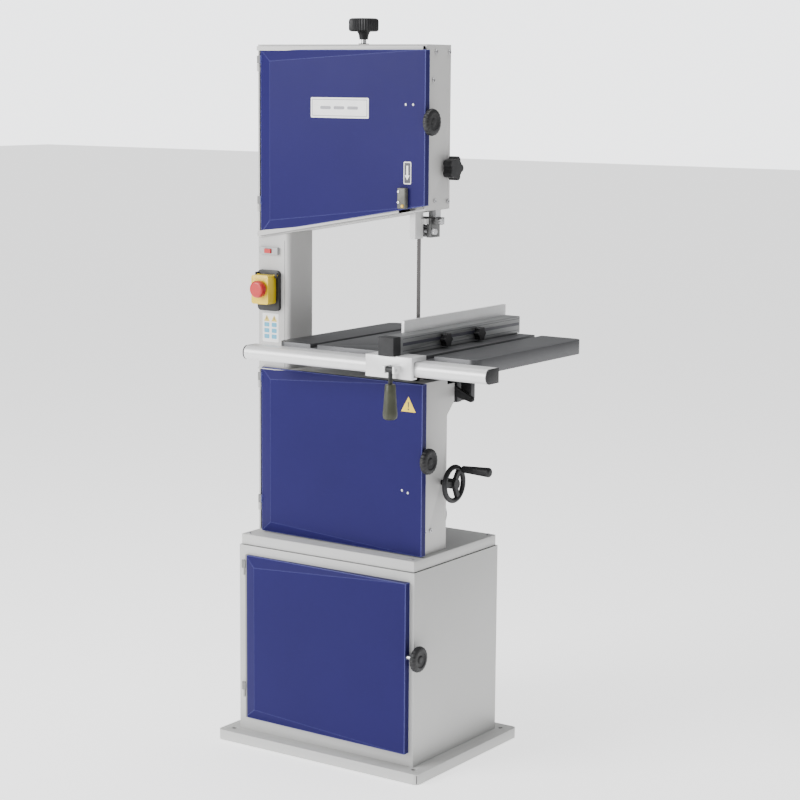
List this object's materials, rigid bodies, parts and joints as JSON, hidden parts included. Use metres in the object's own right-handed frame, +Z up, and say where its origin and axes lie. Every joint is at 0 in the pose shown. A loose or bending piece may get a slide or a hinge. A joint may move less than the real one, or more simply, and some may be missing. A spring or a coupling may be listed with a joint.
{
  "type": "floor-standing band saw",
  "caption": "Floor-standing vertical band saw on a cabinet base, with wheel housings, tilting table, rip fence on a front rail, blade guides and motor drive.",
  "frame": {"origin": "centre of the base's underside", "axes": "+Z up, -Y towards the operator and the doors, +X towards the blade side and the door knobs"},
  "size_m": [0.7715, 0.5625, 1.724],
  "materials": {
    "body_paint": "satin powder coat, light grey",
    "base_paint": "satin powder coat, light grey",
    "door_paint": "gloss paint, deep blue",
    "knob_plastic": "moulded, black",
    "grip_plastic": "moulded, olive",
    "cast_iron": "ground top, painted sides",
    "dark_casting": "black painted casting",
    "wheel_alloy": "cast and turned",
    "wheel_iron": "cast and turned",
    "tyre_rubber": "smooth",
    "belt_rubber": "ribbed",
    "motor_paint": "dark grey paint",
    "blade_steel": "bright strip",
    "steel": "turned and ground",
    "guard_metal": "white",
    "fence_alloy": "dark anodised",
    "face_alloy": "clear anodised",
    "rail_alloy": "clear anodised",
    "port_plastic": "moulded, black",
    "stop_red": "gloss, red",
    "start_green": "gloss, green",
    "flap_yellow": "gloss, yellow",
    "laser_grey": "moulded, olive grey"
  },
  "bodies": {
    "frame": {"base_plate": "base_paint", "blade": "blade_steel", "cabinet_shell": "base_paint", "column": "body_paint", "drive_belt": "belt_rubber", "dust_port": "port_plastic", "frame_bolts": "steel", "guide_post_bracket": "dark_casting", "hinge_pins": "steel", "lower_bearing_block": "dark_casting", "lower_guide_block": "dark_casting", "lower_guide_discs": "steel", "lower_housing": "body_paint", "motor": "motor_paint", "stand_top": "base_paint", "switch_plates": "port_plastic", "trunnion_bracket": "dark_casting", "upper_housing": "body_paint"},
    "upper_door": {"upper_door": "door_paint", "laser_unit": "laser_grey"},
    "lower_door": {"lower_door": "door_paint"},
    "cabinet_door": {"cabinet_door": "door_paint"},
    "upper_door_knob": {"upper_door_knob": "knob_plastic"},
    "lower_door_knob": {"lower_door_knob": "knob_plastic"},
    "cabinet_door_knob": {"cabinet_door_knob": "knob_plastic"},
    "wheel_carriage": {"tension_bracket": "dark_casting", "tension_spring": "steel", "upper_axle": "steel"},
    "upper_wheel": {"upper_wheel": "wheel_alloy", "upper_tyre": "tyre_rubber"},
    "tension_knob": {"tension_knob": "knob_plastic"},
    "tracking_knob": {"tracking_knob": "knob_plastic"},
    "lower_wheel": {"lower_wheel": "wheel_iron", "lower_tyre": "tyre_rubber", "lower_shaft": "steel"},
    "motor_pulley": {"motor_pulley": "wheel_iron"},
    "belt_idler": {"belt_idler": "steel"},
    "belt_handwheel": {"belt_handwheel": "knob_plastic"},
    "handwheel_grip": {"handwheel_grip": "grip_plastic"},
    "guide": {"guide_post": "steel", "guide_block": "dark_casting", "upper_guide_discs": "steel", "blade_guard": "guard_metal"},
    "guide_lock_knob": {"guide_lock_knob": "knob_plastic"},
    "table": {"table": "cast_iron", "table_insert": "rail_alloy", "table_trunnions": "cast_iron", "rail": "rail_alloy", "rail_caps": "knob_plastic"},
    "tilt_lock_lever": {"tilt_lock_lever": "steel"},
    "fence": {"fence_carriage": "fence_alloy", "fence_body": "fence_alloy", "fence_face": "face_alloy"},
    "fence_knob_front": {"fence_knob_front": "knob_plastic"},
    "fence_knob_rear": {"fence_knob_rear": "knob_plastic"},
    "fence_clamp_lever": {"fence_clamp_lever": "grip_plastic"},
    "switch_flap": {"switch_flap": "flap_yellow"},
    "stop_button": {"stop_button": "stop_red"},
    "start_button": {"start_button": "start_green"},
    "light_rocker": {"light_rocker": "stop_red"}
  },
  "joints": [
    {"name": "upper_door_swing", "type": "hinge", "parent": "frame", "child": "upper_door", "pos_m": [-0.231, -0.127, 1.44], "axis": [0, 0, -1], "range_deg": [0, 120]},
    {"name": "lower_door_swing", "type": "hinge", "parent": "frame", "child": "lower_door", "pos_m": [-0.231, -0.127, 0.71], "axis": [0, 0, -1], "range_deg": [0, 120]},
    {"name": "cabinet_door_swing", "type": "hinge", "parent": "frame", "child": "cabinet_door", "pos_m": [-0.237, -0.1845, 0.259], "axis": [0, 0, -1], "range_deg": [0, 120]},
    {"name": "upper_door_latch", "type": "hinge", "parent": "upper_door", "child": "upper_door_knob", "pos_m": [0.246, -0.1305, 1.494], "axis": [-1, 0, 0], "range_deg": [0, 90]},
    {"name": "lower_door_latch", "type": "hinge", "parent": "lower_door", "child": "lower_door_knob", "pos_m": [0.246, -0.1305, 0.733], "axis": [-1, 0, 0], "range_deg": [0, 90]},
    {"name": "cabinet_door_latch", "type": "hinge", "parent": "cabinet_door", "child": "cabinet_door_knob", "pos_m": [0.262, -0.188, 0.287], "axis": [-1, 0, 0], "range_deg": [0, 90]},
    {"name": "blade_tension", "type": "slide", "parent": "frame", "child": "wheel_carriage", "axis": [0, 0, 1], "range_m": [-0.015, 0]},
    {"name": "tension_screw", "type": "hinge", "parent": "frame", "child": "tension_knob", "pos_m": [0.01, -0.045, 1.7], "axis": [0, 0, 1], "range_deg": [-1350, 0]},
    {"name": "lower_wheel_turn", "type": "hinge", "parent": "frame", "child": "lower_wheel", "pos_m": [0.01, -0.073, 0.705], "axis": [0, 1, 0], "continuous": true},
    {"name": "upper_wheel_turn", "type": "hinge", "parent": "wheel_carriage", "child": "upper_wheel", "pos_m": [0.01, -0.073, 1.47], "axis": [0, 1, 0], "continuous": true},
    {"name": "motor_turn", "type": "hinge", "parent": "frame", "child": "motor_pulley", "pos_m": [-0.07, -0.048, 0.605], "axis": [0, 1, 0], "continuous": true},
    {"name": "tracking_screw", "type": "hinge", "parent": "wheel_carriage", "child": "tracking_knob", "pos_m": [0.01, 0, 1.444], "axis": [0, 1, 0], "range_deg": [-180, 180]},
    {"name": "belt_release", "type": "slide", "parent": "frame", "child": "belt_idler", "axis": [1, 0, 0], "range_m": [0, 0.006]},
    {"name": "belt_screw", "type": "hinge", "parent": "frame", "child": "belt_handwheel", "pos_m": [0.268, -0.042, 0.669], "axis": [1, 0, 0], "range_deg": [0, 720]},
    {"name": "grip_spin", "type": "hinge", "parent": "belt_handwheel", "child": "handwheel_grip", "pos_m": [0.315, -0.01963, 0.70095], "axis": [1, 0, 0], "continuous": true},
    {"name": "guide_height", "type": "slide", "parent": "frame", "child": "guide", "axis": [0, 0, 1], "range_m": [-0.17, 0]},
    {"name": "guide_lock", "type": "hinge", "parent": "frame", "child": "guide_lock_knob", "pos_m": [0.254, -0.039, 1.39], "axis": [1, 0, 0], "range_deg": [-90, 90]},
    {"name": "table_tilt", "type": "hinge", "parent": "frame", "child": "table", "pos_m": [0.186, 0.04, 0.985], "axis": [0, 1, 0], "range_deg": [0, 45]},
    {"name": "tilt_lock", "type": "hinge", "parent": "frame", "child": "tilt_lock_lever", "pos_m": [0.224, 0.026, 0.879], "axis": [0, 1, 0], "range_deg": [-30, 18]},
    {"name": "fence_slide", "type": "slide", "parent": "table", "child": "fence", "axis": [1, 0, 0], "range_m": [-0.01, 0.18]},
    {"name": "fence_front_screw", "type": "hinge", "parent": "fence", "child": "fence_knob_front", "pos_m": [0.255, -0.06, 1.004], "axis": [1, 0, 0], "range_deg": [-180, 180]},
    {"name": "fence_rear_screw", "type": "hinge", "parent": "fence", "child": "fence_knob_rear", "pos_m": [0.255, 0.082, 1.004], "axis": [1, 0, 0], "range_deg": [-180, 180]},
    {"name": "fence_clamp", "type": "hinge", "parent": "fence", "child": "fence_clamp_lever", "pos_m": [0.246, -0.27, 0.958], "axis": [-1, 0, 0], "range_deg": [0, 70]},
    {"name": "flap_lift", "type": "hinge", "parent": "frame", "child": "switch_flap", "pos_m": [-0.204, -0.134, 1.129], "axis": [-1, 0, 0], "range_deg": [0, 100]},
    {"name": "stop_press", "type": "slide", "parent": "switch_flap", "child": "stop_button", "axis": [0, 1, 0], "range_m": [0, 0.004], "stiffness_N_per_m": 800},
    {"name": "start_press", "type": "slide", "parent": "frame", "child": "start_button", "axis": [0, 1, 0], "range_m": [0, 0.003], "stiffness_N_per_m": 600},
    {"name": "light_press", "type": "hinge", "parent": "frame", "child": "light_rocker", "pos_m": [-0.203, -0.1265, 1.1855], "axis": [0, 0, 1], "range_deg": [0, 14]}
  ],
  "couplings": [
    {"joint": "tension_screw", "follows": "blade_tension", "rad_per_m": 1570.8},
    {"joint": "upper_wheel_turn", "follows": "lower_wheel_turn", "ratio": 1},
    {"joint": "motor_turn", "follows": "lower_wheel_turn", "ratio": 2.3333},
    {"joint": "belt_screw", "follows": "belt_release", "rad_per_m": 2094.4}
  ]
}
